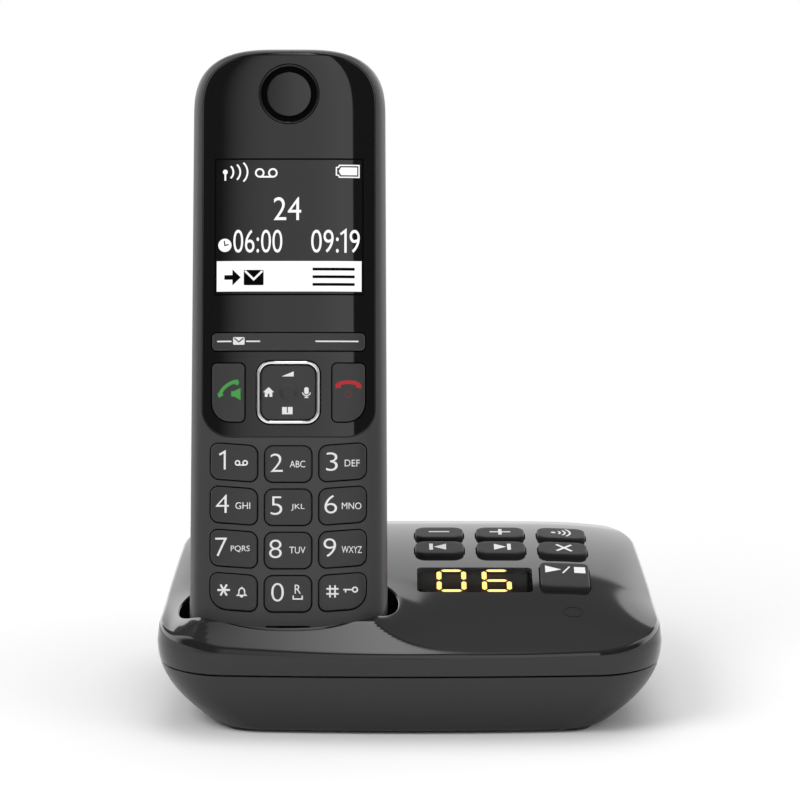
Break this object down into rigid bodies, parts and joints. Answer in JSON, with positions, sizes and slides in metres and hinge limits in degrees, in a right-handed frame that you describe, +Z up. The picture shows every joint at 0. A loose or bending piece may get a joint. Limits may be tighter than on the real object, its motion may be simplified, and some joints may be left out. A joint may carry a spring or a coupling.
{
  "type": "cordless telephone with answering machine",
  "caption": "Low rounded desk base with answering machine keys and a digit display, and a slim cordless handset standing in its cradle.",
  "frame": {"origin": "on the surface that the feet stand on, under the middle of the base's plan", "axes": "+X to the viewer's right, -Y to the front where the keys are read, +Z up"},
  "size_m": [0.1246, 0.096, 0.1623],
  "materials": {
    "gloss_black": "polished black",
    "satin_black": "satin black",
    "handset_black": "fine matte black",
    "base_key": "satin black with white marks",
    "handset_key": "satin black with white marks",
    "rubber": "matte",
    "steel": "zinc plated",
    "display_lens": "smoked lens over amber digits",
    "digit_module": "black with amber segments",
    "board": "solder resist",
    "socket_black": "moulded",
    "speaker": "paper and plastic",
    "contact": "gold plated spring strip",
    "chrome": "bright plated",
    "display_glass": "lit liquid crystal panel",
    "cell": "sleeved rechargeable cell"
  },
  "bodies": {
    "base": {"base_upper_shell": "gloss_black", "base_lower_shell": "satin_black", "foot_front_left": "rubber", "foot_front_right": "rubber", "foot_rear_left": "rubber", "foot_rear_right": "rubber", "base_screw_rear_left": "steel", "base_screw_rear_right": "steel", "base_screw_front_right": "steel", "display_window": "display_lens", "digit_display": "digit_module", "key_board": "board", "base_key_mat": "rubber", "base_circuit_board": "board", "line_socket": "socket_black", "power_socket": "socket_black", "base_loudspeaker": "speaker", "charge_contact_left": "contact", "charge_contact_right": "contact"},
    "handset": {"handset_front_shell": "handset_black", "handset_front_panel": "gloss_black", "handset_rear_shell": "handset_black", "navigation_ring": "chrome", "earpiece_cap": "gloss_black", "handset_display": "display_glass", "handset_circuit_board": "board", "handset_key_mat": "rubber", "earpiece_receiver": "speaker", "microphone": "speaker", "battery_left": "cell", "battery_right": "cell", "charge_pad_left": "contact", "charge_pad_right": "contact", "ringer_speaker": "speaker"},
    "door": {"battery_door": "handset_black"},
    "volume_down": {"key_volume_down": "base_key"},
    "volume_up": {"key_volume_up": "base_key"},
    "paging": {"key_paging": "base_key"},
    "back": {"key_back": "base_key"},
    "forward": {"key_forward": "base_key"},
    "delete": {"key_delete": "base_key"},
    "play_stop": {"key_play_stop": "base_key"},
    "star": {"key_star": "handset_key"},
    "zero": {"key_0": "handset_key"},
    "hash": {"key_hash": "handset_key"},
    "seven": {"key_7": "handset_key"},
    "eight": {"key_8": "handset_key"},
    "nine": {"key_9": "handset_key"},
    "four": {"key_4": "handset_key"},
    "five": {"key_5": "handset_key"},
    "six": {"key_6": "handset_key"},
    "one": {"key_1": "handset_key"},
    "two": {"key_2": "handset_key"},
    "three": {"key_3": "handset_key"},
    "talk": {"talk_key": "handset_key"},
    "end": {"end_key": "handset_key"},
    "soft_keys": {"soft_key_bar": "handset_key"},
    "navigation": {"navigation_key": "handset_key"}
  },
  "joints": [
    {"name": "handset_lift", "type": "slide", "parent": "base", "child": "handset", "axis": [0, 0.2756, 0.9613], "range_m": [0, 0.06]},
    {"name": "battery_door_lift", "type": "slide", "parent": "handset", "child": "door", "axis": [0, 0.9613, -0.2756], "range_m": [0, 0.012]},
    {"name": "volume_down_press", "type": "slide", "parent": "base", "child": "volume_down", "axis": [0, 0.0632, -0.998], "range_m": [0, 0.0008], "stiffness_N_per_m": 600},
    {"name": "volume_up_press", "type": "slide", "parent": "base", "child": "volume_up", "axis": [-0.003, 0.0632, -0.998], "range_m": [0, 0.0008], "stiffness_N_per_m": 600},
    {"name": "paging_press", "type": "slide", "parent": "base", "child": "paging", "axis": [-0.0393, 0.0632, -0.9972], "range_m": [0, 0.0008], "stiffness_N_per_m": 600},
    {"name": "back_press", "type": "slide", "parent": "base", "child": "back", "axis": [0, 0.1239, -0.9923], "range_m": [0, 0.0008], "stiffness_N_per_m": 600},
    {"name": "forward_press", "type": "slide", "parent": "base", "child": "forward", "axis": [-0.003, 0.1239, -0.9923], "range_m": [0, 0.0008], "stiffness_N_per_m": 600},
    {"name": "delete_press", "type": "slide", "parent": "base", "child": "delete", "axis": [-0.0391, 0.1238, -0.9915], "range_m": [0, 0.0008], "stiffness_N_per_m": 600},
    {"name": "play_stop_press", "type": "slide", "parent": "base", "child": "play_stop", "axis": [-0.0381, 0.2027, -0.9785], "range_m": [0, 0.0008], "stiffness_N_per_m": 600},
    {"name": "star_press", "type": "slide", "parent": "handset", "child": "star", "axis": [0, 0.9613, -0.2756], "range_m": [0, 0.0006], "stiffness_N_per_m": 600},
    {"name": "zero_press", "type": "slide", "parent": "handset", "child": "zero", "axis": [0, 0.9613, -0.2756], "range_m": [0, 0.0006], "stiffness_N_per_m": 600},
    {"name": "hash_press", "type": "slide", "parent": "handset", "child": "hash", "axis": [0, 0.9613, -0.2756], "range_m": [0, 0.0006], "stiffness_N_per_m": 600},
    {"name": "seven_press", "type": "slide", "parent": "handset", "child": "seven", "axis": [0, 0.9613, -0.2756], "range_m": [0, 0.0006], "stiffness_N_per_m": 600},
    {"name": "eight_press", "type": "slide", "parent": "handset", "child": "eight", "axis": [0, 0.9613, -0.2756], "range_m": [0, 0.0006], "stiffness_N_per_m": 600},
    {"name": "nine_press", "type": "slide", "parent": "handset", "child": "nine", "axis": [0, 0.9613, -0.2756], "range_m": [0, 0.0006], "stiffness_N_per_m": 600},
    {"name": "four_press", "type": "slide", "parent": "handset", "child": "four", "axis": [0, 0.9613, -0.2756], "range_m": [0, 0.0006], "stiffness_N_per_m": 600},
    {"name": "five_press", "type": "slide", "parent": "handset", "child": "five", "axis": [0, 0.9613, -0.2756], "range_m": [0, 0.0006], "stiffness_N_per_m": 600},
    {"name": "six_press", "type": "slide", "parent": "handset", "child": "six", "axis": [0, 0.9613, -0.2756], "range_m": [0, 0.0006], "stiffness_N_per_m": 600},
    {"name": "one_press", "type": "slide", "parent": "handset", "child": "one", "axis": [0, 0.9613, -0.2756], "range_m": [0, 0.0006], "stiffness_N_per_m": 600},
    {"name": "two_press", "type": "slide", "parent": "handset", "child": "two", "axis": [0, 0.9613, -0.2756], "range_m": [0, 0.0006], "stiffness_N_per_m": 600},
    {"name": "three_press", "type": "slide", "parent": "handset", "child": "three", "axis": [0, 0.9613, -0.2756], "range_m": [0, 0.0006], "stiffness_N_per_m": 600},
    {"name": "talk_press", "type": "slide", "parent": "handset", "child": "talk", "axis": [0, 0.9613, -0.2756], "range_m": [0, 0.0006], "stiffness_N_per_m": 600},
    {"name": "end_press", "type": "slide", "parent": "handset", "child": "end", "axis": [0, 0.9613, -0.2756], "range_m": [0, 0.0006], "stiffness_N_per_m": 600},
    {"name": "soft_key_rock", "type": "hinge", "parent": "handset", "child": "soft_keys", "pos_m": [-0.02985, -0.01264, 0.0918], "axis": [0, 0.2756, 0.9613], "range_deg": [-1.2, 1.2], "stiffness_Nm_per_rad": 0.1},
    {"name": "navigation_rock", "type": "hinge", "parent": "handset", "child": "navigation", "pos_m": [-0.02985, -0.0161, 0.07973], "axis": [1, 0, 0], "range_deg": [-2, 2], "stiffness_Nm_per_rad": 0.1}
  ]
}
